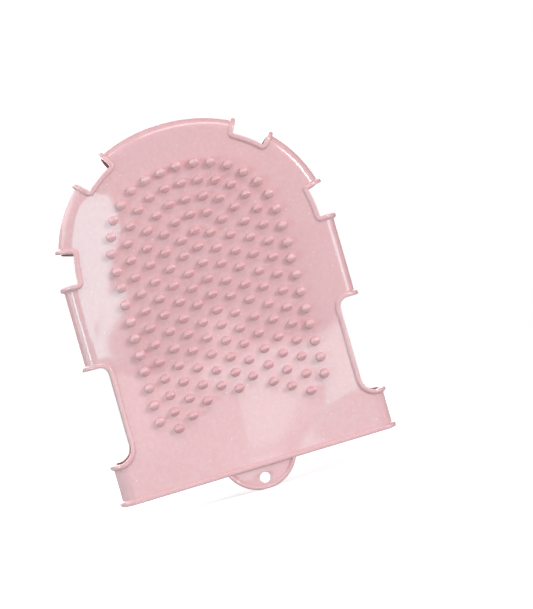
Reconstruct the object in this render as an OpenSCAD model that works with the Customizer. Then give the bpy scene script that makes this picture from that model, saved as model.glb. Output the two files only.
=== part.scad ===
// Grooming glove: a hollow moulded rubber mitt for washing and brushing an animal's coat.
// One face carries massage nubs, the other carries bosses with a bristle tuft set in each.
// The side wall stands in seven lengths with notches between them. The thumb can leave
// through the two long notches, and the hand goes in at the wrist edge.
// +Z points to the fingertips, -Y is the nub side and +Y the bristle side.
// The origin is the middle of the wrist opening, where the hand goes in.

/* [Body] */
// Length from the wrist edge to the tip of the arch
body_len = 215; // [190:1:240]
// Width over the two side walls
body_w = 170; // [150:1:190]
// Height of the arched end
arch_h = 83.5; // [70:0.5:90]
// Roundness of the arch, where 2 is an ellipse and more is squarer
arch_n = 2.1; // [2:0.05:2.6]
// Thickness over the two panels, without nubs, bosses and lips
body_t = 22; // [16:1:34]
// Wall thickness of the moulding
wall_t = 2; // [1.6:0.1:2.8]
// Width of the curved side wall, seen from the front
shoulder_w = 8; // [6:0.5:10]
// Squareness of the side wall's curve
shoulder_n = 2.3; // [2:0.1:3]

/* [Notches and lips] */
// Width of the raised lip round each opening
lip_w = 3; // [2:0.25:4]
// Height of the lip over the panel
lip_h = 1.4; // [0.8:0.1:2]
// Depth of the notches in the arch
notch_depth = 9.8; // [9:0.1:12]
// Depth of the two thumb notches
thumb_depth = 13.2; // [11:0.1:16]
// Start of a thumb notch, from the wrist edge
thumb_low = 24.6; // [20:0.2:30]
// End of a thumb notch, from the wrist edge
thumb_high = 83.4; // [70:0.2:90]

/* [Hang tab] */
// Width of the tab where it leaves the wrist edge
tab_w = 42; // [34:1:50]
// How far the tab reaches past the wrist edge
tab_len = 13.5; // [12:0.5:16]
// Radius of the hole for a hook
hang_hole_r = 3.3; // [2.5:0.1:3.6]

/* [Nubs] */
// Distance between neighbouring nubs
nub_pitch = 10.3; // [10:0.1:12]
// Diameter of a nub
nub_d = 5.8; // [4:0.1:7]
// Height of a nub
nub_h = 4.5; // [3:0.1:6]

/* [Bristles] */
// Distance between neighbouring tufts
tuft_pitch = 11.55; // [11.4:0.05:13]
// Diameter of a boss
boss_d = 10.8; // [9:0.1:10.8]
// Height of a boss
boss_h = 5.5; // [4.5:0.1:7]
// Radius of the blind hole that holds a tuft
bore_r = 3; // [2.5:0.05:3.2]
// Length of tuft that stands out of its boss
tuft_out = 12.5; // [9:0.5:18]

/* [Hidden] */
$fn = 48;

half_w = body_w / 2;
half_t = body_t / 2;
arch_y = body_len - arch_h;              // where the straight sides end and the arch begins
panel_half_w = half_w - shoulder_w;      // where a panel hands over to a side wall

// The notches in the arch, as [start, end] in degrees along it from its right-hand end.
side_notch = [1.7, 15.2];
tip_notch = [45.5, 61.3];
lip_step = 2;                            // the lip's width as an angle along the arch
side_wall_top = arch_y + 2.9;            // the side walls run this far, to the first notch
thumb_low_r = 9;                         // corner radius of a thumb notch at the wrist end
thumb_high_r = 6;                        // corner radius at its other end
past = 12;                               // how far a cutting shape reaches past what it cuts

// The hang tab's disc is set by its width and length.
tab_r = (tab_w * tab_w / 4 + tab_len * tab_len) / (2 * tab_len);
tab_lip_w = 2.4;
hang_hole_y = -6.9;

// Rows of nubs and tufts: each row climbs one side, goes round an arch and comes down again.
row_y = 139.2;                           // where every row starts its arch
row_n = 2.2;                             // roundness of the rows' arches
nub_row_w = [51.6, 41.25, 30.9, 20.55, 10.2];
nub_row_h = [46.8, 36.9, 27, 17.1, 7.2];
nub_row_low = [42.6, 35.4, 40.8, 46.8, 52.8];
nub_centre = [48.6, 136.8];              // first and last nub of the middle column
tuft_row_w = [50.4, 37.8, 25.2, 12.6];
tuft_row_h = [48.6, 37, 25.4, 13.8];
tuft_row_low = [42, 36.2, 42, 47.8];
tuft_centre = [50, 141.6];               // first and last tuft of the middle column

bore_floor = 1.5;                        // rubber left between a tuft and the hand
tuft_clear = 0.05;
anchor = [7.2, 0.5, 1.8];                // a flat wire, wider than the bore, so that its ends grip
anchor_lift = 0.7;                       // the folded bristles pass under the anchor

rubber = [0.92, 0.74, 0.76];
bristle = [0.08, 0.07, 0.07];
steel = [0.75, 0.75, 0.78];

function spow(v, p) = sign(v) * pow(abs(v), p);

// A point on a superellipse, and its outward unit normal.
function arch_point(w, h, n, a) = [w * spow(cos(a), 2 / n), h * spow(sin(a), 2 / n)];
function arch_normal(w, h, n, a) =
    let (v = [spow(cos(a), 2 - 2 / n) / w, spow(sin(a), 2 - 2 / n) / h])
    v / norm(v);

// A point of the glove's outline in the arch, moved outwards by out.
function outline(a, out = 0) =
    [0, arch_y]
    + arch_point(half_w, arch_h, arch_n, a)
    + out * arch_normal(half_w, arch_h, arch_n, a);

// One side wall's section: [outwards, up] for the outer skin and the inner skin.
section_angles = [for (a = [-90:15:90]) a];
function skin(out, up) = [
    for (a = section_angles)
        [out * spow(cos(a), 2 / shoulder_n), up * spow(sin(a), 2 / shoulder_n)]
];
function outer_skin(grow) = skin(shoulder_w + grow, half_t + grow);
inner_skin = skin(shoulder_w - wall_t, half_t - wall_t);

function reversed(list) = [for (i = [len(list) - 1:-1:0]) list[i]];

// Equal steps along a row's path, which is a fine polyline.
function row_path(w, h, low) = concat(
    [[w, low]],
    [for (a = [0:2:180]) [0, row_y] + arch_point(w, h, row_n, a)],
    [[-w, low]]
);
function step_length(path, i) = i < len(path) - 1 ? norm(path[i + 1] - path[i]) : 0;
function lengths(path) =
    [for (i = 0, s = 0; i < len(path); s = s + step_length(path, i), i = i + 1) s];
function at_length(path, sums, s) =
    let (i = min([for (k = [1:len(path) - 1]) if (sums[k] >= s - 0.000001) k]))
    path[i - 1] + (path[i] - path[i - 1]) * (s - sums[i - 1]) / (sums[i] - sums[i - 1]);
function row_places(w, h, low, pitch) =
    let (path = row_path(w, h, low), sums = lengths(path), total = sums[len(sums) - 1],
         steps = 2 * round(total / pitch / 2))
    [for (k = [0:steps]) at_length(path, sums, total * k / steps)];
function column_places(ends, pitch) =
    let (steps = round((ends[1] - ends[0]) / pitch))
    [for (k = [0:steps]) [0, ends[0] + (ends[1] - ends[0]) * k / steps]];

function nub_places(row) =
    row_places(nub_row_w[row], nub_row_h[row], nub_row_low[row], nub_pitch);
function tuft_places(row) =
    row < 4 ? row_places(tuft_row_w[row], tuft_row_h[row], tuft_row_low[row], tuft_pitch)
            : column_places(tuft_centre, tuft_pitch);

// Every piece is drawn lying down, nub side up, with the wrist edge on Y = 0 and the
// middle plane on Z = 0. This stands it up.
module placed() rotate([90, 0, 0]) children();

// A notch in the arch: a fan between two normals, open to the outside.
module arch_notch(ends, grow_angle, grow) {
    steps = 4;
    from = ends[0] - grow_angle;
    to = ends[1] + grow_angle;
    turns = [for (k = [0:steps]) from + (to - from) * k / steps];
    polygon(concat(
        [for (a = turns) outline(a, -notch_depth - grow)],
        [for (a = reversed(turns)) outline(a, past)]
    ));
}

// A quarter circle of corner points about a centre.
function corner(centre, r, from) =
    [for (a = [from:15:from + 90]) centre + r * [cos(a), sin(a)]];

// The right-hand thumb notch: its two inner corners are rounded.
module thumb_notch(grow) {
    x = half_w - thumb_depth - grow;
    low = thumb_low - grow;
    high = thumb_high + grow;
    low_r = thumb_low_r;
    high_r = thumb_high_r;
    polygon(concat(
        [[half_w + past, low]],
        [[half_w + past, high]],
        corner([x + high_r, high - high_r], high_r, 90),
        corner([x + low_r, low + low_r], low_r, 180)
    ));
}

module both_sides() {
    children();
    mirror([1, 0, 0]) children();
}

module notches(grow_angle = 0, grow = 0) both_sides() {
    arch_notch(side_notch, grow_angle, grow);
    arch_notch(tip_notch, grow_angle, grow);
    thumb_notch(grow);
}

module panel_outline() polygon(concat(
    [[-panel_half_w, 0], [panel_half_w, 0]],
    [for (a = [0:4:180]) outline(a, -shoulder_w)]
));

module panel_plan() difference() {
    panel_outline();
    notches();
}

// Where the lip stands on a panel: along the notches and along the wrist edge.
module lip_plan() difference() {
    intersection() {
        panel_outline();
        union() {
            notches(lip_step, lip_w);
            translate([-half_w, 0]) square([body_w, lip_w]);
        }
    }
    notches();
}

// One flat panel with its lip, outer face up.
module panel() {
    translate([0, 0, half_t - wall_t]) linear_extrude(wall_t) panel_plan();
    translate([0, 0, half_t - wall_t / 2]) linear_extrude(wall_t / 2 + lip_h) lip_plan();
}

// A nub: a solid round peg with a rounded end.
module nub() {
    r = nub_d / 2;
    rotate_extrude() polygon([
        [0, -wall_t / 2], [r, -wall_t / 2], [r, 0.4 * nub_h], [0.82 * r, 0.75 * nub_h],
        [0.45 * r, nub_h], [0, nub_h]
    ]);
}

module nub_panel() color(rubber) placed() {
    panel();
    for (row = [0:4], p = nub_places(row)) translate([p.x, p.y, half_t]) nub();
    for (p = column_places(nub_centre, nub_pitch)) translate([p.x, p.y, half_t]) nub();
}

// A boss: a domed collar round the blind hole of one tuft, standing on the panel's outer face.
module boss() {
    r = boss_d / 2;
    rotate_extrude() polygon([
        [0, -wall_t / 2], [r, -wall_t / 2], [r, 0.25 * boss_h], [0.94 * r, 0.55 * boss_h],
        [0.84 * r, 0.78 * boss_h], [0.72 * r, 0.93 * boss_h], [bore_r + 0.3, boss_h], [0, boss_h]
    ]);
}

module bore() {
    translate([0, 0, bore_floor - wall_t]) cylinder(r = bore_r, h = past + boss_h);
    anchor_wire();
}

module anchor_wire() translate([-anchor.x / 2, -anchor.y / 2, bore_floor - wall_t + anchor_lift])
    cube(anchor);

// The bristle side faces down, so its panel is the nub side's panel turned over.
module bristle_side() placed() mirror([0, 0, 1]) children();

module bristle_panel() color(rubber) bristle_side() difference() {
    union() {
        panel();
        for (row = [0:4], p = tuft_places(row)) translate([p.x, p.y, half_t]) boss();
    }
    for (row = [0:4], p = tuft_places(row)) translate([p.x, p.y, half_t]) bore();
}

// A tuft: a bundle of bristles folded round its anchor.
module tuft() difference() {
    translate([0, 0, bore_floor - wall_t])
        cylinder(r = bore_r - tuft_clear, h = wall_t - bore_floor + boss_h + tuft_out);
    anchor_wire();
}

module tufts(row) color(bristle) bristle_side()
    for (p = tuft_places(row)) translate([p.x, p.y, half_t]) tuft();

module anchors(row) color(steel) bristle_side()
    for (p = tuft_places(row)) translate([p.x, p.y, half_t]) anchor_wire();

// A side wall along the arch. It is thicker by the lip at both ends.
module arch_wall(from, to) {
    inner = len(section_angles);
    ring = 2 * inner;
    middle = max(2, round((to - from) / 4));
    slope = 0.4;
    stations = concat(
        [[from, lip_h], [from + lip_step, lip_h]],
        [for (k = [0:middle])
            [from + lip_step + slope + (to - from - 2 * (lip_step + slope)) * k / middle, 0]],
        [[to - lip_step, lip_h], [to, lip_h]]
    );
    points = [for (s = stations, q = concat(outer_skin(s[1]), inner_skin))
        let (foot = outline(s[0], q.x - shoulder_w)) [foot.x, foot.y, q.y]];
    last = (len(stations) - 1) * ring;
    skins = [for (i = [0:len(stations) - 2], k = [0:inner - 2])
        let (a = i * ring + k, b = a + ring, c = a + inner, d = c + ring)
        each [[a, a + 1, b + 1], [a, b + 1, b], [c, d + 1, c + 1], [c, d, d + 1]]];
    edges = [for (i = [0:len(stations) - 2])
        let (a = i * ring, b = a + ring, e = a + inner - 1, f = e + ring)
        each [[a, b, b + inner], [a, b + inner, a + inner],
              [e, f + inner, f], [e, e + inner, f + inner]]];
    caps = [for (k = [0:inner - 2])
        let (m = last + k)
        each [[k, k + inner, k + inner + 1], [k, k + inner + 1, k + 1],
              [m, m + inner + 1, m + inner], [m, m + 1, m + inner + 1]]];
    polyhedron(points, concat(skins, edges, caps));
}

// A straight length of the right-hand side wall, from one Y to another.
module straight_wall(from, to, grow) translate([panel_half_w, from, 0])
    rotate([-90, 0, 0]) linear_extrude(to - from)
        polygon(concat(outer_skin(grow), reversed(inner_skin)));

module column(height) translate([0, 0, -height / 2]) linear_extrude(height) children();

// The wall beside the palm, between the thumb notch and the first notch of the arch.
module right_side() difference() {
    union() {
        straight_wall(thumb_high - thumb_high_r, side_wall_top, 0);
        straight_wall(side_wall_top - lip_w, side_wall_top, lip_h);
        intersection() {
            straight_wall(thumb_high - thumb_high_r, thumb_high + lip_w + thumb_high_r, lip_h);
            column(2 * body_t) thumb_notch(lip_w);
        }
    }
    column(2 * body_t) thumb_notch(0);
}

// The wall beside the wrist, with the lip of the wrist edge and of the thumb notch.
module right_cuff() difference() {
    union() {
        straight_wall(0, thumb_low + thumb_low_r, 0);
        straight_wall(0, lip_w, lip_h);
        intersection() {
            straight_wall(thumb_low - lip_w - thumb_low_r, thumb_low + thumb_low_r, lip_h);
            column(2 * body_t) thumb_notch(lip_w);
        }
    }
    column(2 * body_t) thumb_notch(0);
}

module tip_wall() color(rubber) placed() arch_wall(tip_notch[1], 180 - tip_notch[1]);
module upper_right_wall() color(rubber) placed() arch_wall(side_notch[1], tip_notch[0]);
module upper_left_wall() color(rubber) placed() arch_wall(180 - tip_notch[0], 180 - side_notch[1]);
module right_side_wall() color(rubber) placed() right_side();
module left_side_wall() color(rubber) placed() mirror([1, 0, 0]) right_side();
module right_cuff_wall() color(rubber) placed() right_cuff();
module left_cuff_wall() color(rubber) placed() mirror([1, 0, 0]) right_cuff();

// The hang tab: a segment of a disc in the nub panel's plane, with a lip on its nub side.
module tab_plan(inset) intersection() {
    translate([0, tab_r - tab_len]) circle(r = tab_r - inset);
    translate([-tab_w, -2 * tab_len]) square([2 * tab_w, 2 * tab_len]);
}

module hang_tab() color(rubber) placed() difference() {
    union() {
        translate([0, 0, half_t - wall_t]) linear_extrude(wall_t) tab_plan(0);
        translate([0, 0, half_t - wall_t / 2]) linear_extrude(wall_t / 2 + lip_h)
            difference() {
                tab_plan(0);
                tab_plan(tab_lip_w);
            }
    }
    translate([0, hang_hole_y, 0]) cylinder(r = hang_hole_r, h = 2 * half_t);
}

nub_panel();
bristle_panel();
hang_tab();
tip_wall();
upper_left_wall();
upper_right_wall();
left_side_wall();
right_side_wall();
left_cuff_wall();
right_cuff_wall();
tufts(0);  // tufts_row_1
tufts(1);  // tufts_row_2
tufts(2);  // tufts_row_3
tufts(3);  // tufts_row_4
tufts(4);  // tufts_centre
anchors(0);  // anchors_row_1
anchors(1);  // anchors_row_2
anchors(2);  // anchors_row_3
anchors(3);  // anchors_row_4
anchors(4);  // anchors_centre
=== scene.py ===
import math

import bmesh
import bpy
import numpy as np
from mathutils import Matrix, Vector


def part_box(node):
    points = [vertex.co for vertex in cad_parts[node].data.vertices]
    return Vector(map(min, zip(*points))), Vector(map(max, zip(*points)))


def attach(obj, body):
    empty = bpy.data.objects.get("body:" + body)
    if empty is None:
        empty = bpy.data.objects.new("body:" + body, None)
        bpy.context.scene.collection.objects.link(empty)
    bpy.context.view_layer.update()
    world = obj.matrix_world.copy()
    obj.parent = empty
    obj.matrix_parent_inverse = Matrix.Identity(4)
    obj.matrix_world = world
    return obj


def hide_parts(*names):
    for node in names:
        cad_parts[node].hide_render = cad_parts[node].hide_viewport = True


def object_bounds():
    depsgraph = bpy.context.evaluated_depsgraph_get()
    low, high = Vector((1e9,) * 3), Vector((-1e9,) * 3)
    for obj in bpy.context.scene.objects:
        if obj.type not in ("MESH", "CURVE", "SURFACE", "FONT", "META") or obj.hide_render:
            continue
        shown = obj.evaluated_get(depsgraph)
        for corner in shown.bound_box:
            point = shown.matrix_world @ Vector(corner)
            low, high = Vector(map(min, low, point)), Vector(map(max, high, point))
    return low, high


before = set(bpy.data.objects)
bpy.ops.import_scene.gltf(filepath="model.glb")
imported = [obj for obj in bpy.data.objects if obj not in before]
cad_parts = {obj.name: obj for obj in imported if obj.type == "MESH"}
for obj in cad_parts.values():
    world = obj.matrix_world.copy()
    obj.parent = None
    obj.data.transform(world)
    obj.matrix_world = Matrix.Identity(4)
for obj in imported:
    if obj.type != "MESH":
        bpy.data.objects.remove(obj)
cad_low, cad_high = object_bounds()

# ---------------------------------------------------------------- the hollow moulding
# One piece of soft pink rubber, moulded round a flat core: two flat panels joined by a
# rounded side wall. The core was held in the tool through the notches in the wall, and
# the two long notches let the thumb out. All lengths here are in millimetres.

MM = 0.001
panel_high = np.array(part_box("nub_panel")[1]) / MM
wall_high = np.array(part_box("right_side_wall")[1]) / MM
tip_high = np.array(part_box("tip_wall")[1]) / MM

lip_h = 1.4                                  # the CAD lips stand this far over the wall
half_w = wall_high[0] - lip_h
half_t = wall_high[1] - lip_h
body_top = tip_high[2]
shoulder_w = half_w - panel_high[0]          # the rounded side wall, seen from the front
shoulder_n = 2.3                             # exponent of its superellipse
wall_t = 2.0
arch_h = 83.5
arch_n = 2.1                                 # exponent of the arch over the fingertips
arch_z = body_top - arch_h                   # the sides are straight up to here


def signed_power(values, power):
    """The value's size raised to a power, with its sign kept."""
    return np.sign(values) * np.abs(values) ** power


def arch_points(width, height, exponent, degrees):
    """Points of a superellipse: width * cos^(2/n), height * sin^(2/n)."""
    turn = np.radians(degrees)
    return np.stack([width * signed_power(np.cos(turn), 2 / exponent),
                     height * signed_power(np.sin(turn), 2 / exponent)], axis=-1)


def arch_normals(width, height, exponent, degrees):
    """Unit normals of that superellipse: cos^(2-2/n) / width, sin^(2-2/n) / height."""
    turn = np.radians(degrees)
    across = signed_power(np.cos(turn), 2 - 2 / exponent) / width
    up = signed_power(np.sin(turn), 2 - 2 / exponent) / height
    both = np.stack([across, up], axis=-1)
    return both / np.linalg.norm(both, axis=-1, keepdims=True)


def outline(degrees, inset=0.0):
    """Points (x, z) of the glove's arch, moved inwards along its normal by inset."""
    points = arch_points(half_w, arch_h, arch_n, degrees)
    points = points - inset * arch_normals(half_w, arch_h, arch_n, degrees)
    return points + [0.0, arch_z]


def even_steps(points, count):
    """count + 1 points spaced evenly along a polyline."""
    lengths = np.r_[0, np.cumsum(np.linalg.norm(np.diff(points, axis=0), axis=1))]
    at = np.linspace(0, lengths[-1], count + 1)
    return np.stack([np.interp(at, lengths, points[:, axis]) for axis in range(points.shape[1])], axis=1)


def quads(rows, columns, round_rows=False, round_columns=False, first=0):
    """Faces of a grid of points in row order. A round direction joins its end to its start."""
    i, j = np.meshgrid(np.arange(rows if round_rows else rows - 1),
                       np.arange(columns if round_columns else columns - 1), indexing="ij")
    down, right = (i + 1) % rows, (j + 1) % columns
    corners = [i * columns + j, i * columns + right, down * columns + right, down * columns + j]
    return first + np.stack(corners, axis=-1).reshape(-1, 4)


def grid_mesh(name, points, faces):
    """A mesh from points in millimetres and four-cornered faces."""
    mesh = bpy.data.meshes.new(name)
    mesh.vertices.add(len(points))
    mesh.vertices.foreach_set("co", (points * MM).ravel())
    mesh.loops.add(4 * len(faces))
    mesh.loops.foreach_set("vertex_index", faces.ravel())
    mesh.polygons.add(len(faces))
    mesh.polygons.foreach_set("loop_start", 4 * np.arange(len(faces)))
    mesh.polygons.foreach_set("loop_total", np.full(len(faces), 4))
    mesh.update(calc_edges=True)
    return mesh


def close_up(mesh, doubled=None):
    """Turns the faces outwards. First merges points nearer than doubled, in metres."""
    work = bmesh.new()
    work.from_mesh(mesh)
    if doubled is not None:
        bmesh.ops.remove_doubles(work, verts=work.verts, dist=doubled)
        bmesh.ops.dissolve_degenerate(work, edges=work.edges, dist=doubled)
    bmesh.ops.recalc_face_normals(work, faces=work.faces)
    work.to_mesh(mesh)
    work.free()


def smooth_shading(mesh, sharp_over):
    """Every face smooth, apart from edges that turn by more than sharp_over degrees."""
    mesh.polygons.foreach_set("use_smooth", np.ones(len(mesh.polygons), dtype=bool))
    mesh.set_sharp_from_angle(angle=math.radians(sharp_over))
    mesh.update()


def new_object(name, mesh):
    """An object that shows a mesh, in the scene."""
    shown = bpy.data.objects.new(name, mesh)
    bpy.context.scene.collection.objects.link(shown)
    return shown


def new_piece(name, points, faces, material, sharp_over=40.0):
    """A smooth, closed piece of one material, whose edges over sharp_over degrees stay crisp."""
    mesh = grid_mesh(name, points, faces)
    close_up(mesh, doubled=1e-7)
    smooth_shading(mesh, sharp_over)
    mesh.materials.append(material)
    return new_object(name, mesh)


# Node groups for the finishes. Each puts out colours, masks or heights, and no shader.
def new_group(name, inputs, outputs):
    """An empty node group with float or colour sockets, and its input and output nodes."""
    group = bpy.data.node_groups.new(name, "ShaderNodeTree")
    for label, kind, value in inputs:
        socket = group.interface.new_socket(name=label, in_out="INPUT", socket_type=kind)
        socket.default_value = value
    for label, kind in outputs:
        group.interface.new_socket(name=label, in_out="OUTPUT", socket_type=kind)
    return group, group.nodes.new("NodeGroupInput"), group.nodes.new("NodeGroupOutput")


def new_node(tree, kind, **settings):
    """A node of that kind, with its settings and its inputs' values set by name."""
    node = tree.nodes.new(kind)
    for label, value in settings.items():
        if hasattr(node, label):
            setattr(node, label, value)
        else:
            node.inputs[label.replace("_", " ")].default_value = value
    return node


# Cloudy mottling: broad patches and fine marbling, from 0 to 1 about a mean of one half.
mottle, mottle_in, mottle_out = new_group(
    "mottling",
    [("Position", "NodeSocketVector", (0, 0, 0)), ("Patches per metre", "NodeSocketFloat", 30.0)],
    [("Cloud", "NodeSocketFloat"), ("Fine", "NodeSocketFloat")])
broad = new_node(mottle, "ShaderNodeTexNoise", Detail=3.0, Roughness=0.5, Distortion=0.6)
fine_scale = new_node(mottle, "ShaderNodeMath", operation="MULTIPLY")
fine_scale.inputs[1].default_value = 14.0
fine = new_node(mottle, "ShaderNodeTexNoise", Detail=4.0, Roughness=0.6)
mottle.links.new(mottle_in.outputs["Position"], broad.inputs["Vector"])
mottle.links.new(mottle_in.outputs["Patches per metre"], broad.inputs["Scale"])
mottle.links.new(mottle_in.outputs["Patches per metre"], fine_scale.inputs[0])
mottle.links.new(mottle_in.outputs["Position"], fine.inputs["Vector"])
mottle.links.new(fine_scale.outputs[0], fine.inputs["Scale"])
mottle.links.new(broad.outputs["Fac"], mottle_out.inputs["Cloud"])
mottle.links.new(fine.outputs["Fac"], mottle_out.inputs["Fine"])

# Specks of dust: one in some of the cells of a 3-D pattern, as a mask that is 1 on a speck.
specks, specks_in, specks_out = new_group(
    "dust_specks",
    [("Position", "NodeSocketVector", (0, 0, 0)), ("Cells per metre", "NodeSocketFloat", 220.0),
     ("Share", "NodeSocketFloat", 0.3), ("Size", "NodeSocketFloat", 0.12)],
    [("Mask", "NodeSocketFloat")])
cells = new_node(specks, "ShaderNodeTexVoronoi", feature="F1", Randomness=1.0)
chosen = new_node(specks, "ShaderNodeMath", operation="LESS_THAN")
shape = new_node(specks, "ShaderNodeMapRange", interpolation_type="SMOOTHSTEP", clamp=True)
shape.inputs["To Min"].default_value = 1.0
shape.inputs["To Max"].default_value = 0.0
both = new_node(specks, "ShaderNodeMath", operation="MULTIPLY")
part = new_node(specks, "ShaderNodeSeparateColor")
half_size = new_node(specks, "ShaderNodeMath", operation="MULTIPLY")
half_size.inputs[1].default_value = 0.4
specks.links.new(specks_in.outputs["Position"], cells.inputs["Vector"])
specks.links.new(specks_in.outputs["Cells per metre"], cells.inputs["Scale"])
specks.links.new(cells.outputs["Color"], part.inputs["Color"])
specks.links.new(part.outputs["Red"], chosen.inputs[0])
specks.links.new(specks_in.outputs["Share"], chosen.inputs[1])
specks.links.new(specks_in.outputs["Size"], half_size.inputs[0])
specks.links.new(cells.outputs["Distance"], shape.inputs["Value"])
specks.links.new(half_size.outputs[0], shape.inputs["From Min"])
specks.links.new(specks_in.outputs["Size"], shape.inputs["From Max"])
specks.links.new(chosen.outputs[0], both.inputs[0])
specks.links.new(shape.outputs["Result"], both.inputs[1])
specks.links.new(both.outputs[0], specks_out.inputs["Mask"])


def place_group(tree, group, **values):
    """One use of a node group in a material, with its own values."""
    node = tree.nodes.new("ShaderNodeGroup")
    node.node_tree = group
    for label, value in values.items():
        node.inputs[label.replace("_", " ")].default_value = value
    return node


def moulded_rubber():
    """Satin pink rubber: mottled in tone and gloss, with a faint orange peel and pale dust."""
    material = bpy.data.materials.new("moulded_rubber")
    material.use_nodes = True
    tree = material.node_tree
    shader = tree.nodes["Principled BSDF"]
    shader.inputs["IOR"].default_value = 1.5
    shader.inputs["Subsurface Weight"].default_value = 0.12
    shader.inputs["Subsurface Radius"].default_value = (1.0, 0.45, 0.4)
    shader.inputs["Subsurface Scale"].default_value = 0.003
    shader.inputs["Coat Weight"].default_value = 0.9
    shader.inputs["Coat Roughness"].default_value = 0.045
    where = tree.nodes.new("ShaderNodeTexCoord")
    clouds = place_group(tree, mottle, Patches_per_metre=26.0)
    dust = place_group(tree, specks, Cells_per_metre=640.0, Share=0.5, Size=0.2)
    flecks = place_group(tree, specks, Cells_per_metre=230.0, Share=0.3, Size=0.13)
    loose = new_node(tree, "ShaderNodeMath", operation="MAXIMUM")
    for number, layer in enumerate((dust, flecks)):
        tree.links.new(where.outputs["Object"], layer.inputs["Position"])
        tree.links.new(layer.outputs["Mask"], loose.inputs[number])
    tree.links.new(where.outputs["Object"], clouds.inputs["Position"])
    tone = new_node(tree, "ShaderNodeMix", data_type="RGBA")
    tone.inputs["A"].default_value = (0.815, 0.438, 0.465, 1)
    tone.inputs["B"].default_value = (0.865, 0.506, 0.530, 1)
    tree.links.new(clouds.outputs["Cloud"], tone.inputs["Factor"])
    marbled = new_node(tree, "ShaderNodeMix", data_type="RGBA", blend_type="OVERLAY")
    marbled.inputs["Factor"].default_value = 0.15
    grey = new_node(tree, "ShaderNodeCombineColor")
    for channel in ("Red", "Green", "Blue"):
        tree.links.new(clouds.outputs["Fine"], grey.inputs[channel])
    tree.links.new(tone.outputs["Result"], marbled.inputs["A"])
    tree.links.new(grey.outputs["Color"], marbled.inputs["B"])
    dusty = new_node(tree, "ShaderNodeMix", data_type="RGBA")
    dusty.inputs["B"].default_value = (0.93, 0.72, 0.735, 1)
    tree.links.new(loose.outputs[0], dusty.inputs["Factor"])
    tree.links.new(marbled.outputs["Result"], dusty.inputs["A"])
    tree.links.new(dusty.outputs["Result"], shader.inputs["Base Color"])
    gloss = new_node(tree, "ShaderNodeMapRange")
    gloss.inputs["To Min"].default_value = 0.38
    gloss.inputs["To Max"].default_value = 0.55
    tree.links.new(clouds.outputs["Fine"], gloss.inputs["Value"])
    tree.links.new(gloss.outputs["Result"], shader.inputs["Roughness"])
    peel = new_node(tree, "ShaderNodeTexNoise", Scale=900.0, Detail=3.0)
    height = new_node(tree, "ShaderNodeMath", operation="MULTIPLY_ADD")
    height.inputs[1].default_value = 0.6
    tree.links.new(where.outputs["Object"], peel.inputs["Vector"])
    tree.links.new(loose.outputs[0], height.inputs[0])
    tree.links.new(peel.outputs["Fac"], height.inputs[2])
    bump = new_node(tree, "ShaderNodeBump", Strength=0.35, Distance=0.00012)
    tree.links.new(height.outputs[0], bump.inputs["Height"])
    tree.links.new(bump.outputs["Normal"], shader.inputs["Normal"])
    return material


rubber = moulded_rubber()


def swell(points):
    """The panels as they cool: y grows by up to half a millimetre in slow waves over x and z, and
    by a flare of a millimetre that dies away from the wrist edge."""
    x, y, z = points[..., 0], points[..., 1], points[..., 2]
    waves = (0.30 * np.sin(x / 23 + 0.6) * np.cos(z / 31 + 1.1)
             + 0.20 * np.sin(x / 47 - z / 26 + 2.0)
             + 0.10 * np.cos(x / 13 + z / 17)
             + 0.05 * np.sin(z / 8 - x / 19 + 1.0))
    flare = 1.1 * np.exp(-np.clip(z, 0, None) / 26)
    out = np.array(points, dtype=float)
    out[..., 1] = y * (1 + (waves + flare) / half_t)
    return out


# Stations along half of the rim, from the wrist up one side and over the arch to the tip. Each
# has its own point on the spine, the panel's middle line, which ends short of the tip.
straight_count, arch_count = 56, 60
across_count, round_count = 23, 25           # points over half a panel, and round the side wall
spine_share = 0.55

side_stations = np.stack([np.full(straight_count, half_w), np.linspace(0, arch_z, straight_count)], axis=1)
arch_degrees = np.linspace(0, 90, 2001)
arch_even = even_steps(np.c_[outline(arch_degrees), arch_degrees], arch_count)[1:, 2]
rim_points = np.r_[side_stations, outline(arch_even)]
rim_normals = np.r_[np.tile([1.0, 0.0], (straight_count, 1)),
                    arch_normals(half_w, arch_h, arch_n, arch_even)]
rim_normals[-1] = [0.0, 1.0]
rim_points[-1, 0] = 0.0
spine_top = arch_z + spine_share * arch_h
spine_z = np.r_[side_stations[:, 1], np.linspace(arch_z, spine_top, arch_count + 1)[1:]]


def skin(shoulder, thickness):
    """Half of one skin of the mitt as a grid. A row runs from the middle line of the nub panel out
    to its edge, round the side wall on a superellipse, and back along the bristle panel."""
    edge = rim_points - shoulder_w * rim_normals
    across = np.linspace(0, 1, across_count)[None, :, None]
    spine = np.stack([np.zeros_like(spine_z), spine_z], axis=1)
    panel = spine[:, None] * (1 - across) + edge[:, None] * across
    turn = np.radians(np.linspace(-90, 90, round_count)[1:-1])
    out = shoulder * signed_power(np.cos(turn), 2 / shoulder_n)
    wall = edge[:, None] + out[None, :, None] * rim_normals[:, None]
    wall_y = thickness * signed_power(np.sin(turn), 2 / shoulder_n)
    plan = np.concatenate([panel, wall, panel[:, ::-1]], axis=1)
    depth = np.r_[np.full(across_count, -thickness), wall_y, np.full(across_count, thickness)]
    y = np.broadcast_to(depth[None, :, None], plan.shape[:2] + (1,))
    return swell(np.concatenate([plan[..., :1], y, plan[..., 1:]], axis=-1))


def mirrored(points):
    """The same grid on the other side of the glove's middle plane."""
    return points * [-1.0, 1.0, 1.0]


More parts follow.
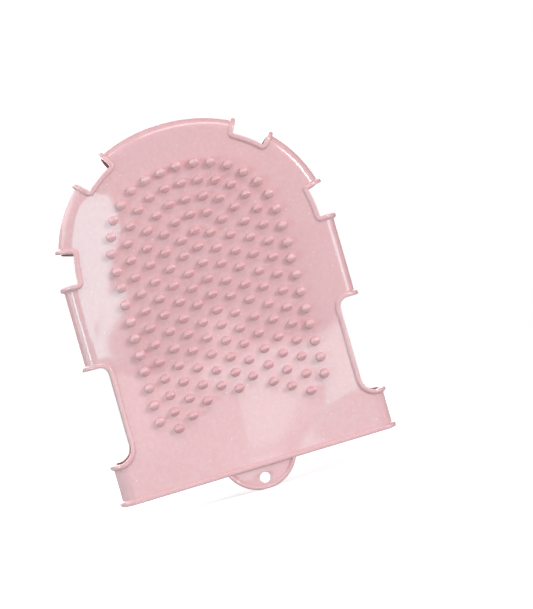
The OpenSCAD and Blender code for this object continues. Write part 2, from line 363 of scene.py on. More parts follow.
outer = skin(shoulder_w, half_t)
inner = skin(shoulder_w - wall_t, half_t - wall_t)
rows, columns = outer.shape[:2]
shell_points = []
shell_faces = []
for sheet in (outer, inner, mirrored(outer), mirrored(inner)):
    shell_faces.append(quads(rows, columns, first=sum(map(len, shell_points))))
    shell_points.append(sheet.reshape(-1, 3))
for outside, inside in ((outer, inner), (mirrored(outer), mirrored(inner))):
    shell_faces.append(quads(2, columns, first=sum(map(len, shell_points))))
    shell_points.append(np.r_[outside[0], inside[0]])
shell = new_piece("moulded_shell", np.concatenate(shell_points), np.concatenate(shell_faces), rubber)

# The notches, as the tool's core supports leave them: a fan between two normals of the arch,
# and a long slot with two rounded corners for the thumb.
side_notch = (1.7, 15.2)                     # from and to, in degrees of the arch
tip_notch = (45.5, 61.3)
notch_depth = 9.8
thumb_depth = 13.2
thumb_low, thumb_high = 24.6, 83.4
thumb_low_r, thumb_high_r = 9.0, 6.0
beyond = 14.0                                # a cutter reaches this far past the wall
reach = 40.0                                 # and this far to each side of the middle plane


def quarter(centre, radius, start, count=9):
    """Points of a quarter circle about a centre, from a start angle in degrees."""
    turn = np.radians(start + np.linspace(0, 90, count))
    return np.array(centre) + radius * np.stack([np.cos(turn), np.sin(turn)], axis=1)


def notch_cutter(plan):
    """A prism through both panels over a closed plan of (x, z) points."""
    count = len(plan)
    loops = [np.c_[plan[:, 0], np.full(count, y), plan[:, 1]] for y in (-reach, reach)]
    mesh = bpy.data.meshes.new("notch_cutter")
    ring = np.arange(count)
    sides = np.stack([ring, (ring + 1) % count, (ring + 1) % count + count, ring + count], axis=1)
    mesh.from_pydata((np.concatenate(loops) * MM).tolist(), [],
                     sides.tolist() + [ring[::-1].tolist(), (ring + count).tolist()])
    close_up(mesh)
    return new_object("notch_cutter", mesh)


def arch_notch_plan(ends):
    """The inner edge follows the arch at the notch's depth, and the outer edge lies past the wall."""
    degrees = np.linspace(ends[0], ends[1], 9)
    return np.r_[outline(degrees, notch_depth), outline(degrees[::-1], -beyond)]


thumb_x = half_w - thumb_depth
thumb_plan = np.r_[
    [[half_w + beyond, thumb_low], [half_w + beyond, thumb_high]],
    quarter((thumb_x + thumb_high_r, thumb_high - thumb_high_r), thumb_high_r, 90),
    quarter((thumb_x + thumb_low_r, thumb_low + thumb_low_r), thumb_low_r, 180)]

for plan in (arch_notch_plan(side_notch), arch_notch_plan(tip_notch), thumb_plan):
    for side in (1, -1):
        cutter = notch_cutter(plan * [side, 1])
        cut = shell.modifiers.new("notch", "BOOLEAN")
        cut.operation = "DIFFERENCE"
        cut.solver = "EXACT"
        cut.object = cutter
        evaluated = shell.evaluated_get(bpy.context.evaluated_depsgraph_get())
        trimmed = bpy.data.meshes.new_from_object(evaluated)
        shell.modifiers.remove(cut)
        shell.data = trimmed
        bpy.data.objects.remove(cutter)
shell.data.name = "moulded_shell"
smooth_shading(shell.data, 40.0)
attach(shell, "root")
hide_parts("nub_panel", "tip_wall", "upper_left_wall", "upper_right_wall",
            "left_side_wall", "right_side_wall", "left_cuff_wall", "right_cuff_wall")

# ---------------------------------------------------------------- the lips
# A raised bead runs round every opening, so that the soft edge doesn't tear: round each
# notch, over the side wall at the ends of its lengths, and right round the wrist.

# (away from the opening, up from the wall) round the bead, whose foot is sunk in the wall.
lip_profile = np.array([
    [-0.20, -1.95], [-0.28, -0.60], [-0.26, 0.85], [-0.10, 1.20], [0.25, 1.38], [1.00, 1.44],
    [1.75, 1.36], [2.25, 1.10], [2.60, 0.62], [2.82, 0.26], [3.02, -0.08], [3.10, -0.70],
    [2.70, -1.20], [1.50, -1.95]])
lip_growth = 0.35                            # the share by which it is higher on the side wall


def bead(foot, normal, away, sizes):
    """Carries lip_profile along a closed path. foot is on the wall's surface, normal stands on
    it, and away points from the opening along it. sizes stretches the bead's height."""
    away = away - np.sum(away * normal, axis=1, keepdims=True) * normal
    away = away / np.linalg.norm(away, axis=1, keepdims=True)
    over = lip_profile[None, :, :1] * away[:, None]
    up = np.where(lip_profile[:, 1] > 0, lip_profile[:, 1], 0)[None, :, None] * sizes[:, None, None]
    down = np.where(lip_profile[:, 1] < 0, lip_profile[:, 1], 0)[None, :, None]
    return foot[:, None] + over + (up + down) * normal[:, None]


def wall_surface(depth):
    """For a distance in from the rim: y of the nub side's surface, and its normal's share across
    the wall and along y. Past the shoulder it is the flat panel."""
    out = np.clip((shoulder_w - depth) / shoulder_w, 0, 1)
    y = half_t * (1 - out ** shoulder_n) ** (1 / shoulder_n)
    across = out ** (shoulder_n - 1) / shoulder_w
    along = (y / half_t) ** (shoulder_n - 1) / half_t
    size = np.hypot(across, along)
    return -y, across / size, -along / size


def round_the_notch(plan, rim_normal, depth, away):
    """The closed path of a notch's lip: along the nub side, over the wall, back on the other side."""
    y, across, along = wall_surface(depth)
    foot = np.c_[plan[:, 0], y, plan[:, 1]]
    normal = np.c_[across * rim_normal[:, 0], along, across * rim_normal[:, 1]]
    away = np.c_[away[:, 0], np.zeros(len(away)), away[:, 1]]
    back = slice(-2, 0, -1)
    flip = np.array([1.0, -1.0, 1.0])
    size = 1 + lip_growth * np.clip(1 - depth / shoulder_w, 0, 1)
    return (np.r_[foot, foot[back] * flip], np.r_[normal, normal[back] * flip],
            np.r_[away, away[back]], np.r_[size, size[back]])


shoulder_turn = np.radians(np.linspace(0, 90, 9))
shoulder_depths = shoulder_w * (1 - signed_power(np.cos(shoulder_turn), 2 / shoulder_n))


def arch_notch_path(ends):
    """Plan, rim normal, depth and away direction along one notch of the arch."""
    corner_r = 0.8
    plan, normals, depths, aways = [], [], [], []

    def add(points, normal, depth, away):
        plan.append(points)
        normals.append(normal)
        depths.append(depth)
        aways.append(away)

    def end(degree, side):
        """Down one end of the notch, from the rim to the corner, and half of the corner's turn."""
        normal = arch_normals(half_w, arch_h, arch_n, np.array([degree]))
        sideways = side * np.stack([normal[:, 1], -normal[:, 0]], axis=1)
        depth = np.r_[shoulder_depths, np.linspace(shoulder_w, notch_depth - corner_r, 3)[1:]]
        rim = outline(np.array([degree]))
        turn = np.radians(np.linspace(0, 90, 6)[1:])
        centre = rim - (notch_depth - corner_r) * normal - corner_r * sideways
        away = np.cos(turn)[:, None] * sideways - np.sin(turn)[:, None] * normal
        corner_depth = notch_depth - corner_r + corner_r * np.sin(turn)
        count = len(depth)
        return (np.r_[rim - depth[:, None] * normal, centre + corner_r * away],
                np.tile(normal, (count + len(turn), 1)), np.r_[depth, corner_depth],
                np.r_[np.tile(sideways, (count, 1)), away])

    inner = np.linspace(ends[0], ends[1], 15)[1:-1]
    inner_normal = arch_normals(half_w, arch_h, arch_n, inner)
    add(*end(ends[0], 1))
    add(outline(inner, notch_depth), inner_normal, np.full(len(inner), notch_depth), -inner_normal)
    add(*(part[::-1] for part in end(ends[1], -1)))
    return tuple(np.concatenate(parts) for parts in (plan, normals, depths, aways))


def thumb_notch_path():
    """The same for the thumb notch of the right-hand side: its corners are wide arcs."""
    low_centre = np.array([thumb_x + thumb_low_r, thumb_low + thumb_low_r])
    high_centre = np.array([thumb_x + thumb_high_r, thumb_high - thumb_high_r])
    clear = 0.3                              # no station nearer than this to the start of an arc
    low_depths = shoulder_depths[shoulder_depths < half_w - low_centre[0] - clear]
    high_depths = shoulder_depths[shoulder_depths < half_w - high_centre[0] - clear]
    low_arc = quarter(low_centre, thumb_low_r, 180, 15)[::-1]
    high_arc = quarter(high_centre, thumb_high_r, 90, 13)[::-1]
    side_z = np.linspace(low_centre[1], high_centre[1], 32)[1:-1]
    side = np.c_[np.full(len(side_z), thumb_x), side_z]
    plan = np.r_[np.c_[half_w - low_depths, np.full(len(low_depths), thumb_low)], low_arc, side, high_arc,
                 np.c_[half_w - high_depths, np.full(len(high_depths), thumb_high)][::-1]]
    away = np.r_[np.tile([0.0, -1.0], (len(low_depths), 1)), (low_arc - low_centre) / thumb_low_r,
                 np.tile([-1.0, 0.0], (len(side), 1)), (high_arc - high_centre) / thumb_high_r,
                 np.tile([0.0, 1.0], (len(high_depths), 1))]
    return plan, np.tile([1.0, 0.0], (len(plan), 1)), half_w - plan[:, 0], away


def wrist_path():
    """Once round the wrist opening, at the edge of both panels and both walls."""
    edge = panel_high[0]
    count = 60                               # stations along each panel
    flat = np.linspace(-edge, edge, count + 2)[1:-1]
    turn = np.radians(np.linspace(-90, 90, round_count))
    out = shoulder_w * signed_power(np.cos(turn), 2 / shoulder_n)
    y = half_t * signed_power(np.sin(turn), 2 / shoulder_n)
    normal_x = signed_power(np.cos(turn), 2 - 2 / shoulder_n) / shoulder_w
    normal_y = signed_power(np.sin(turn), 2 - 2 / shoulder_n) / half_t
    foot = np.r_[np.c_[flat, np.full(count, -half_t)], np.c_[edge + out, y],
                 np.c_[flat[::-1], np.full(count, half_t)], np.c_[-edge - out, y][::-1]]
    normal = np.r_[np.tile([0.0, -1.0], (count, 1)), np.c_[normal_x, normal_y],
                   np.tile([0.0, 1.0], (count, 1)), np.c_[-normal_x, normal_y][::-1]]
    normal = normal / np.linalg.norm(normal, axis=1, keepdims=True)
    flat_z = np.zeros(len(foot))
    size = 1 + lip_growth * np.clip(np.abs(foot[:, 0]) - edge, 0, shoulder_w) / shoulder_w
    return np.c_[foot, flat_z], np.c_[normal, flat_z], np.tile([0.0, 0.0, 1.0], (len(foot), 1)), size


lip_points = []
lip_faces = []
for path in (arch_notch_path(side_notch), arch_notch_path(tip_notch), thumb_notch_path()):
    ring = bead(*round_the_notch(*path))
    for grid in (ring, mirrored(ring)):
        lip_faces.append(quads(*grid.shape[:2], True, True, sum(map(len, lip_points))))
        lip_points.append(swell(grid).reshape(-1, 3))
wrist = bead(*wrist_path())
lip_faces.append(quads(*wrist.shape[:2], True, True, sum(map(len, lip_points))))
lip_points.append(swell(wrist).reshape(-1, 3))
lips = new_piece("lips", np.concatenate(lip_points), np.concatenate(lip_faces), rubber, 60.0)
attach(lips, "root")

# ---------------------------------------------------------------- the hang tab
# A segment of a disc below the wrist edge, in the nub panel's plane, with a punched hole
# for a hook and its own low lip round the curved edge.

tab_low, tab_high = (np.array(corner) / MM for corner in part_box("hang_tab"))
tab_half_w = tab_high[0]
tab_len = -tab_low[2]
tab_r = (tab_half_w ** 2 + tab_len ** 2) / (2 * tab_len)
tab_centre_z = tab_r - tab_len
hole_z = -6.9                                # the punched hole
hole_r = 3.3
tab_root = 1.5                               # the tab runs this far up behind the wrist lip

spread = math.degrees(math.acos(tab_centre_z / tab_r))
rim_turn = np.radians(-90 + np.linspace(-spread, spread, 61))
tab_curve = np.stack([tab_r * np.cos(rim_turn), tab_centre_z + tab_r * np.sin(rim_turn)], axis=1)
tab_top = np.linspace(tab_half_w, -tab_half_w, 20)
tab_outline = np.r_[tab_curve, np.c_[tab_top, np.full(len(tab_top), tab_root)]]
facing = np.arctan2(tab_outline[:, 1] - hole_z, tab_outline[:, 0])
hole_edge = np.stack([hole_r * np.cos(facing), hole_z + hole_r * np.sin(facing)], axis=1)

# Rings from the hole's edge (0) out to the outline (1). Both edges of the sheet are eased.
out = np.r_[0.0, 0.06, 0.2, 0.45, 0.7, 0.94, 1.0]
front_y = np.r_[0.35, 0.0, 0.0, 0.0, 0.0, 0.0, 0.45] - half_t
plan = hole_edge[None] * (1 - out)[:, None, None] + tab_outline[None] * out[:, None, None]
front = np.concatenate([plan[..., :1], np.broadcast_to(front_y[:, None, None], plan[..., :1].shape),
                        plan[..., 1:]], axis=-1)
back = front[::-1] * [1, 0, 1] + [0, wall_t - half_t, 0]
tab_grid = np.concatenate([front, back])
tab_points = [swell(tab_grid).reshape(-1, 3)]
tab_faces = [quads(*tab_grid.shape[:2], True, True)]

# Its lip is a bead on the nub side only, open at both ends under the wrist lip.
inward = -np.stack([np.cos(rim_turn), np.sin(rim_turn)], axis=1)
tab_lip = np.array([[-0.15, -1.9], [-0.25, -0.3], [-0.15, 0.7], [0.35, 1.20], [1.00, 1.30],
                    [1.65, 1.10], [2.10, 0.50], [2.25, -0.2], [1.6, -1.2]])
lip_grid = tab_curve[:, None] + tab_lip[None, :, :1] * inward[:, None]
lip_y = np.broadcast_to((-half_t - tab_lip[:, 1])[None, :, None], lip_grid.shape[:2] + (1,))
lip_grid = np.concatenate([lip_grid[..., :1], lip_y, lip_grid[..., 1:]], axis=-1)
ends = [lip_grid[0].mean(axis=0), lip_grid[-1].mean(axis=0)]
lip_grid = np.concatenate([np.tile(ends[0], (1, len(tab_lip), 1)), lip_grid,
                           np.tile(ends[1], (1, len(tab_lip), 1))])
tab_faces.append(quads(*lip_grid.shape[:2], False, True, len(tab_points[0])))
tab_points.append(swell(lip_grid).reshape(-1, 3))
tab = new_piece("hang_tab_moulding", np.concatenate(tab_points), np.concatenate(tab_faces), rubber)
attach(tab, "root")
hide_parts("hang_tab")

# ---------------------------------------------------------------- the nubs
# Solid pegs moulded with the nub panel in nested arches. The outermost row has rounded
# ends, and the inner ones end in a low roof whose ridge lies nearly across the glove.

row_z = 139.2                                # the rows are straight up to here
row_n = 2.2
nub_pitch = 10.3
# Each row's half width, its height above row_z, and where its straight ends begin.
nub_rows = ((51.6, 46.8, 42.6), (41.25, 36.9, 35.4), (30.9, 27.0, 40.8),
            (20.55, 17.1, 46.8), (10.2, 7.2, 52.8))
nub_column = (48.6, 136.8)                   # the first and the last nub of the middle line
nub_r = 2.9
nub_h = 4.5
chance = np.random.default_rng(4)


def along_row(width, height, low, pitch):
    """Evenly spaced (x, z) places up one side, round an arch and down the other side."""
    arch = arch_points(width, height, row_n, np.arange(0, 181, 2.0)) + [0.0, row_z]
    path = np.r_[[[width, low]], arch, [[-width, low]]]
    length = np.linalg.norm(np.diff(path, axis=0), axis=1).sum()
    return even_steps(path, 2 * round(length / pitch / 2))


def along_column(ends, pitch):
    """Evenly spaced places up the middle line."""
    count = round((ends[1] - ends[0]) / pitch)
    return np.stack([np.zeros(count + 1), np.linspace(ends[0], ends[1], count + 1)], axis=1)


def peg(radius, height, roof_fall, slimness):
    """A nub as a grid of rings. Each ring stands at a share of the roof over it, which is
    height * (1 - roof_fall * f - drop * (u / r)^2), with f = sqrt((v / r)^2 + b^2) - b. So the ridge
    lies along u, and b makes it blunter at one end. The lowest rings make the foot. The whole peg
    is slimmer along v, and turned a little on its foot."""
    ring_r = np.array([1.16, 1.05, 1.01, 1.0, 0.98, 0.90, 0.66, 0.34, 0.0]) * radius
    share = np.array([-0.06, 0.05, 0.16, 0.45, 0.80, 0.93, 0.985, 1.0, 1.0])[:, None]
    turn = np.radians([0, 10, 30, 60, 90, 120, 150, 170])     # closest together near the ridge
    turn = np.r_[turn, turn + np.pi]
    u = ring_r[:, None] * np.cos(turn)
    v = ring_r[:, None] * np.sin(turn)
    bluntness = 0.15 + 0.3 * np.clip(u / radius, 0, 1) ** 2
    from_ridge = np.hypot(v / radius, bluntness) - bluntness
    drop = 0.12
    roof = height * (1 - roof_fall * from_ridge - drop * (u / radius) ** 2)
    rise = share * np.where(share < 0.2, height, roof)
    lean = np.radians(9)
    across = v * slimness
    return np.stack([u * np.cos(lean) - across * np.sin(lean), rise,
                     u * np.sin(lean) + across * np.cos(lean)], axis=-1)


round_peg = peg(nub_r, nub_h, roof_fall=0.42, slimness=0.94)
ridged_peg = peg(nub_r, nub_h, roof_fall=0.86, slimness=0.86)
place_wander = 0.22                          # how unevenly the nubs stand, and how lumpy their ends are
round_lumps, ridged_lumps = 0.10, 0.02
nub_points = []
nub_faces = []
for row, shape in enumerate(nub_rows + (None,)):
    places = along_column(nub_column, nub_pitch) if shape is None else along_row(*shape, nub_pitch)
    for place in places:
        grid = (round_peg if row == 0 else ridged_peg).copy()
        tip = grid[..., 1] > 0.5 * nub_h
        grid[..., 1][tip] += chance.normal(0, round_lumps if row == 0 else ridged_lumps, tip.sum())
        grid[..., 1] *= chance.uniform(0.95, 1.04)
        wander = chance.normal(0, place_wander, 2)
        grid = np.stack([grid[..., 0] + place[0] + wander[0], -half_t - grid[..., 1],
                         grid[..., 2] + place[1] + wander[1]], axis=-1)
        grid[-1] = grid[-1].mean(axis=0)
        foot = np.broadcast_to(grid[:1].mean(axis=1, keepdims=True), grid[:1].shape)
        grid = np.concatenate([foot, grid])
        nub_faces.append(quads(*grid.shape[:2], False, True, sum(map(len, nub_points))))
        nub_points.append(grid.reshape(-1, 3))
nubs = new_piece("nubs", swell(np.concatenate(nub_points)), np.concatenate(nub_faces), rubber, 75.0)
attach(nubs, "root")

# ---------------------------------------------------------------- the bosses
# Domed collars moulded with the bristle panel, one for each tuft. The mouth of the blind
# hole has a narrow flat ring round it.

tuft_pitch = 11.55                           # the rows are laid out as those of the nubs are
tuft_rows = ((50.4, 48.6, 42.0), (37.8, 37.0, 36.2), (25.2, 25.4, 42.0), (12.6, 13.8, 47.8))
tuft_column = (50.0, 141.6)
boss_h = 5.5


def boss(segments=24):
    """Rings (radius, height over the panel) of a dome on a short foot, over the narrow flat ring,
    and down the bore to its floor. The bore is 6 mm wide."""
    ring_r = np.array([0.0, 6.3, 5.65, 5.42, 5.40, 5.20, 4.78, 4.25, 3.75, 3.35, 3.05, 2.98, 2.98, 0.0])
    ring_y = np.array([-0.4, -0.4, 0.15, 0.75, 1.60, 2.90, 4.05, 4.85, 5.28, 5.46, 5.36, 5.0, -0.5, -0.5])
    turn = np.linspace(0, 2 * np.pi, segments, endpoint=False)
    x = ring_r[:, None] * np.cos(turn)
    z = ring_r[:, None] * np.sin(turn)
    y = np.broadcast_to(ring_y[:, None], x.shape)
    return np.stack([x, y, z], axis=-1)


tuft_places = [along_row(*shape, tuft_pitch) for shape in tuft_rows]
tuft_places.append(along_column(tuft_column, tuft_pitch))
one_boss = boss()
boss_points = np.concatenate([(one_boss + [x, half_t, z]).reshape(-1, 3)
                              for x, z in np.concatenate(tuft_places)])
boss_faces = np.concatenate([quads(*one_boss.shape[:2], False, True, k * one_boss[..., 0].size)
                             for k in range(sum(map(len, tuft_places)))])
bosses = new_piece("tuft_bosses", swell(boss_points), boss_faces, rubber, 50.0)
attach(bosses, "root")
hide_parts("bristle_panel")

# ---------------------------------------------------------------- the tuft anchors
# A short flat wire across the bottom of each blind hole, driven in with the folded tuft.


def galvanised_wire():
    """Dull zinc-coated steel with uneven gloss."""
    material = bpy.data.materials.new("galvanised_wire")
    material.use_nodes = True
    tree = material.node_tree
    shader = tree.nodes["Principled BSDF"]
    shader.inputs["Metallic"].default_value = 1.0
    where = tree.nodes.new("ShaderNodeTexCoord")
    clouds = place_group(tree, mottle, Patches_per_metre=400.0)
    tone = new_node(tree, "ShaderNodeMix", data_type="RGBA")
    tone.inputs["A"].default_value = (0.42, 0.43, 0.45, 1)
    tone.inputs["B"].default_value = (0.62, 0.62, 0.64, 1)
    gloss = new_node(tree, "ShaderNodeMapRange")
    gloss.inputs["To Min"].default_value = 0.3
    gloss.inputs["To Max"].default_value = 0.55
    tree.links.new(where.outputs["Object"], clouds.inputs["Position"])
    tree.links.new(clouds.outputs["Cloud"], tone.inputs["Factor"])
    tree.links.new(tone.outputs["Result"], shader.inputs["Base Color"])
    tree.links.new(clouds.outputs["Fine"], gloss.inputs["Value"])
    tree.links.new(gloss.outputs["Result"], shader.inputs["Roughness"])
    return material


wire = galvanised_wire()
row_names = ("row_1", "row_2", "row_3", "row_4", "centre")
for row_name in row_names:
    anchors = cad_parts["anchors_" + row_name]
    anchors.data.materials.clear()
    anchors.data.materials.append(wire)

# ---------------------------------------------------------------- the bristle tufts
# Bundles of black crimped nylon, folded round their anchors. The cut ends are uneven, and
# each bundle opens a little towards its tips.

filaments_per_tuft = 84
filament_r = 0.2
tuft_out = 12.5                              # the longest filaments stand this far out of a boss
tuft_root = boss_h - 1.2                     # filaments are drawn from just inside the mouth
tuft_r = 2.72                                # at its root
droop = 1.5                                  # a tuft leans more and more towards its tips


def black_nylon():
    """Crimped nylon: near black, greyer and rougher towards the cut tips, each filament a little
    different. The attributes tip and shade hold how far up a point is and its filament's tone."""
    material = bpy.data.materials.new("black_nylon")
    material.use_nodes = True
    tree = material.node_tree
    shader = tree.nodes["Principled BSDF"]
    shader.inputs["IOR"].default_value = 1.53
    tip = new_node(tree, "ShaderNodeAttribute", attribute_name="tip")
    shade = new_node(tree, "ShaderNodeAttribute", attribute_name="shade")
    body = new_node(tree, "ShaderNodeMix", data_type="RGBA")
    body.inputs["A"].default_value = (0.006, 0.005, 0.005, 1)
    body.inputs["B"].default_value = (0.030, 0.026, 0.026, 1)
    ends = new_node(tree, "ShaderNodeMix", data_type="RGBA")
    ends.inputs["B"].default_value = (0.16, 0.14, 0.14, 1)
    near_tip = new_node(tree, "ShaderNodeMapRange", interpolation_type="SMOOTHSTEP", clamp=True)
    near_tip.inputs["From Min"].default_value = 0.86
    near_tip.inputs["From Max"].default_value = 1.0
    mixed = new_node(tree, "ShaderNodeMath", operation="MULTIPLY")
    tree.links.new(shade.outputs["Fac"], body.inputs["Factor"])
    tree.links.new(tip.outputs["Fac"], near_tip.inputs["Value"])
    tree.links.new(near_tip.outputs["Result"], mixed.inputs[0])
    tree.links.new(shade.outputs["Fac"], mixed.inputs[1])
    tree.links.new(mixed.outputs[0], ends.inputs["Factor"])
    tree.links.new(body.outputs["Result"], ends.inputs["A"])
    tree.links.new(ends.outputs["Result"], shader.inputs["Base Color"])
    gloss = new_node(tree, "ShaderNodeMapRange")
    gloss.inputs["To Min"].default_value = 0.32
    gloss.inputs["To Max"].default_value = 0.55
    tree.links.new(tip.outputs["Fac"], gloss.inputs["Value"])
    tree.links.new(gloss.outputs["Result"], shader.inputs["Roughness"])
    return material


def filaments(place, lean, count):
    """Filaments of one tuft, (count, rings, sides, 3). A filament starts on a disc in the bore,
    follows root + lean * t^droop + spread * t^2, and wanders sideways in a crimp of sines. Those
    near the middle are the longest."""
    rings, sides = 6, 4
    t = np.linspace(0, 1, rings)[None, :, None]
    radius = tuft_r * np.sqrt(chance.uniform(0, 1, count))
    turn = chance.uniform(0, 2 * np.pi, count)
    root = np.stack([radius * np.cos(turn), radius * np.sin(turn)], axis=1)[:, None]
    spread = root * chance.uniform(0.10, 0.62, count)[:, None, None] + chance.normal(0, 0.34, (count, 1, 2))
    crimp = chance.normal(0, 0.16, (count, 1, 2)) * np.sin(
        t * chance.uniform(5, 9, count)[:, None, None] + chance.uniform(0, 6, count)[:, None, None])
    side = root + lean[None, None] * t ** droop + spread * t ** 2 + crimp * t
    reaching = chance.uniform(0.90, 1.02, count)
    reaching = reaching - 0.11 * (radius / tuft_r) ** 2 * chance.uniform(0, 1, count)
    long = boss_h - tuft_root + tuft_out * reaching
    y = half_t + tuft_root + long[:, None, None] * t
    middle = np.concatenate([place[0] + side[..., :1], y, place[1] + side[..., 1:]], axis=-1)
    taper = 1.0 - 0.25 * t[..., None] ** 2
    thick = filament_r * taper * chance.uniform(0.8, 1.15, count)[:, None, None, None]
    corner = np.arange(sides) * 2 * np.pi / sides + chance.uniform(0, 6, count)[:, None, None]
    ring = np.stack([np.cos(corner), np.zeros_like(corner), np.sin(corner)], axis=-1)
    return middle[:, :, None] + thick * ring


def bundle_core(place, lean):
    """The closed dark heart of a tuft, so that no light shows between its filaments."""
    ring_r = np.array([0.0, 2.55, 2.6, 2.55, 2.35, 1.5, 0.0])
    ring_t = np.array([0.0, 0.0, 0.25, 0.55, 0.72, 0.80, 0.82])
    turn = np.linspace(0, 2 * np.pi, 12, endpoint=False)
    rough = 1 + chance.normal(0, 0.05, (len(ring_r), len(turn)))
    rough[[0, -1]] = 1
    side = ring_r[:, None] * rough
    x = place[0] + side * np.cos(turn) + lean[0] * ring_t[:, None] ** droop
    z = place[1] + side * np.sin(turn) + lean[1] * ring_t[:, None] ** droop
    y = half_t + tuft_root + (tuft_out + boss_h - tuft_root) * np.broadcast_to(ring_t[:, None], x.shape)
    return np.stack([x, y, z], axis=-1)


nylon = black_nylon()
splay = 1.6
# Tufts lean away from the middle of the field, and those near the fingertips lean the most.
for row_name, places in zip(row_names, tuft_places):
    points, faces, tips, shades = [], [], [], []
    used = 0
    for place in places:
        above = np.clip((place[1] - row_z) / 45, 0, 1)
        outward = np.array([place[0] / 60, (place[1] - 95) / 90])
        lean = outward * (1.0 + splay * above) + chance.normal(0, 0.45, 2)
        bundle = filaments(place, lean, filaments_per_tuft)
        count, rings, sides, _ = bundle.shape
        corners = np.arange(sides)
        caps = np.array([corners[::-1], corners + (rings - 1) * sides])
        one = np.r_[quads(rings, sides, False, True), caps]
        starts = used + np.arange(count)[:, None, None] * rings * sides
        faces.append((one[None] + starts).reshape(-1, 4))
        points.append(bundle.reshape(-1, 3))
        along = np.linspace(0, 1, rings)[None, :, None]
        tips.append(np.broadcast_to(along, (count, rings, sides)).ravel())
        shades.append(np.repeat(chance.uniform(0, 1, count) ** 1.6, rings * sides))
        used += count * rings * sides
        core = bundle_core(place, lean)
        faces.append(quads(*core.shape[:2], False, True, used))
        points.append(core.reshape(-1, 3))
        tips.append(np.zeros(core[..., 0].size))
        shades.append(np.zeros(core[..., 0].size))
        used += core[..., 0].size
    mesh = grid_mesh("tufts_" + row_name, np.concatenate(points), np.concatenate(faces))
    for label, values in (("tip", tips), ("shade", shades)):
        attribute = mesh.attributes.new(label, "FLOAT", "POINT")
        attribute.data.foreach_set("value", np.concatenate(values).astype(np.float32))
    close_up(mesh, doubled=1e-8)
    smooth_shading(mesh, 60.0)
    mesh.materials.append(nylon)
    tufts = new_object("bristles_" + row_name, mesh)
    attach(tufts, "root")
    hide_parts("tufts_" + row_name)

# ---------------------------------------------------------------- floor, light and camera
# A plain white studio. The floor fades out into the white round it, and lets most bounced
# light through, so that it doesn't brighten the glove from below.

floor_z = cad_low[2]
bpy.ops.mesh.primitive_circle_add(vertices=96, radius=1.6, fill_type="NGON", location=(0, 0, floor_z))
floor = bpy.context.object
floor.name = "floor"
paper = bpy.data.materials.new("white_paper")
paper.use_nodes = True
tree = paper.node_tree
surface = tree.nodes["Principled BSDF"]
surface.inputs["Base Color"].default_value = (0.75, 0.75, 0.75, 1)
surface.inputs["Roughness"].default_value = 0.9
surface.inputs["Emission Color"].default_value = (1, 1, 1, 1)
surface.inputs["Emission Strength"].default_value = 0.55
where = tree.nodes.new("ShaderNodeTexCoord")
length = new_node(tree, "ShaderNodeVectorMath", operation="LENGTH")
fade = new_node(tree, "ShaderNodeMapRange", interpolation_type="SMOOTHSTEP", clamp=True)
fade.inputs["From Min"].default_value = 0.25
fade.inputs["From Max"].default_value = 0.9
direct = tree.nodes.new("ShaderNodeLightPath")
quiet = new_node(tree, "ShaderNodeMapRange")
quiet.inputs["To Min"].default_value = 0.7
quiet.inputs["To Max"].default_value = 0.0
thin = new_node(tree, "ShaderNodeMath", operation="MAXIMUM")
clear = tree.nodes.new("ShaderNodeBsdfTransparent")
blend = tree.nodes.new("ShaderNodeMixShader")
tree.links.new(where.outputs["Object"], length.inputs[0])
tree.links.new(length.outputs["Value"], fade.inputs["Value"])
tree.links.new(direct.outputs["Is Camera Ray"], quiet.inputs["Value"])
tree.links.new(quiet.outputs["Result"], thin.inputs[0])
tree.links.new(fade.outputs["Result"], thin.inputs[1])
tree.links.new(thin.outputs[0], blend.inputs["Fac"])
tree.links.new(surface.outputs["BSDF"], blend.inputs[1])
tree.links.new(clear.outputs["BSDF"], blend.inputs[2])
tree.links.new(blend.outputs["Shader"], tree.nodes["Material Output"].inputs["Surface"])
floor.data.materials.append(paper)

scene = bpy.context.scene
scene.view_settings.view_transform = "Standard"
world = bpy.data.worlds.new("studio")
scene.world = world
world.use_nodes = True
tree = world.node_tree
ambient = tree.nodes["Background"]
ambient.inputs["Color"].default_value = (1, 1, 1, 1)
ambient.inputs["Strength"].default_value = 0.13
seen = new_node(tree, "ShaderNodeBackground", Strength=1.0)
seen.inputs["Color"].default_value = (1, 1, 1, 1)
path = tree.nodes.new("ShaderNodeLightPath")
blend = tree.nodes.new("ShaderNodeMixShader")
tree.links.new(path.outputs["Is Camera Ray"], blend.inputs["Fac"])
tree.links.new(ambient.outputs["Background"], blend.inputs[1])
tree.links.new(seen.outputs["Background"], blend.inputs[2])
tree.links.new(blend.outputs["Shader"], tree.nodes["World Output"].inputs["Surface"])

middle = Vector((0, 0, body_top * MM / 2))


def softbox(name, position, width, height, watts, colour=(1, 1, 1)):
    """A rectangular area light that faces the middle of the glove."""
    light = bpy.data.lights.new(name, "AREA")
    light.shape = "RECTANGLE"
    light.size, light.size_y = width, height
    light.energy = watts
    light.color = colour
    lamp = new_object(name, light)
    lamp.location = position
    lamp.rotation_euler = (middle - Vector(position)).to_track_quat("-Z", "Y").to_euler()


# Positions and sizes are in metres. A cool light on pink rubber gives a nearly white sheen.
cool = (0.5, 1.0, 1.0)
warm = (1.0, 0.92, 0.92)
rosy = (1.0, 0.82, 0.82)

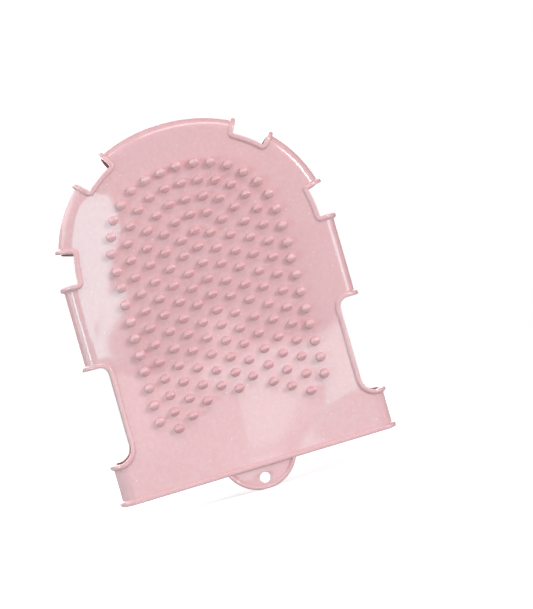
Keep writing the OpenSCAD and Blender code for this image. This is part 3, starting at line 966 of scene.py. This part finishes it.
# The lights that shape the body: from the right, from above and from the left.
softbox("key_right", (1.23, -1.14, 0.68), 0.42, 0.42, 12.9, warm)
softbox("strip_right", (1.08, -0.82, 0.10), 0.70, 0.24, 2.7, cool)
softbox("overhead", (0.36, -0.87, 1.42), 0.90, 0.45, 6.3)
softbox("overhead_left", (-0.45, -0.40, 0.95), 0.55, 0.40, 1.8)
softbox("wide_left", (-0.90, -0.10, 0.46), 0.50, 0.80, 2.4)
softbox("strip_left", (-0.92, -0.68, 0.14), 0.30, 0.34, 3.2, cool)

# Small lights in front, whose reflections make the pale sheen on the nub side.
softbox("front_wide", (0.015, -1.20, -0.045), 0.35, 0.23, 0.62, rosy)
softbox("front_wide_right", (0.295, -1.20, -0.055), 0.21, 0.21, 0.24, (1.0, 0.85, 0.85))
softbox("front_left", (-0.087, -1.20, 0.235), 0.125, 0.17, 0.40, cool)
softbox("front_left_low", (-0.034, -1.20, 0.1275), 0.083, 0.045, 0.07, cool)
softbox("front_low", (0.275, -1.20, 0.004), 0.14, 0.097, 0.14, cool)
softbox("front_cuff", (0.132, -1.20, -0.042), 0.065, 0.065, 0.03, cool)
softbox("front_pegs", (0.150, -1.20, 0.028), 0.11, 0.05, 0.036, cool)
softbox("front_corner", (0.025, -1.20, -0.13), 0.17, 0.06, 0.06, cool)

# Two lights behind, for the bristle side and for the edges of the lips.
softbox("rear", (0.0, 1.1, 0.6), 1.4, 1.2, 10.5)
softbox("rim_left", (-0.75, 0.42, 0.88), 0.70, 0.60, 2.6)

# The camera looks at the nub side, swung a little off square, and it is rolled, so that the
# glove leans to the left.
view_h = 364.0167                            # the height that the camera sees at the nub panel
aside, below = 32.2176, 6.7543               # from the glove's middle to the middle of the view
roll = math.radians(15.95)
swing = math.radians(7.5)
distance = 900.0
level = np.array([math.cos(swing), -math.sin(swing), 0])
ahead = np.array([math.sin(swing), math.cos(swing), 0])
upright = np.array([0, 0, 1.0])
right = math.cos(roll) * level - math.sin(roll) * upright
up = math.sin(roll) * level + math.cos(roll) * upright
aim = np.array([0, -half_t, body_top / 2]) + aside * right - below * up
camera_data = bpy.data.cameras.new("camera")
camera_data.sensor_width = 36.0
camera_data.lens = distance * camera_data.sensor_width / view_h
camera = new_object("camera", camera_data)
stand = (aim - distance * ahead) * MM
axes = Matrix(np.stack([right, up, -ahead], axis=1).tolist())
camera.matrix_world = Matrix.Translation(stand) @ axes.to_4x4()
scene.camera = camera
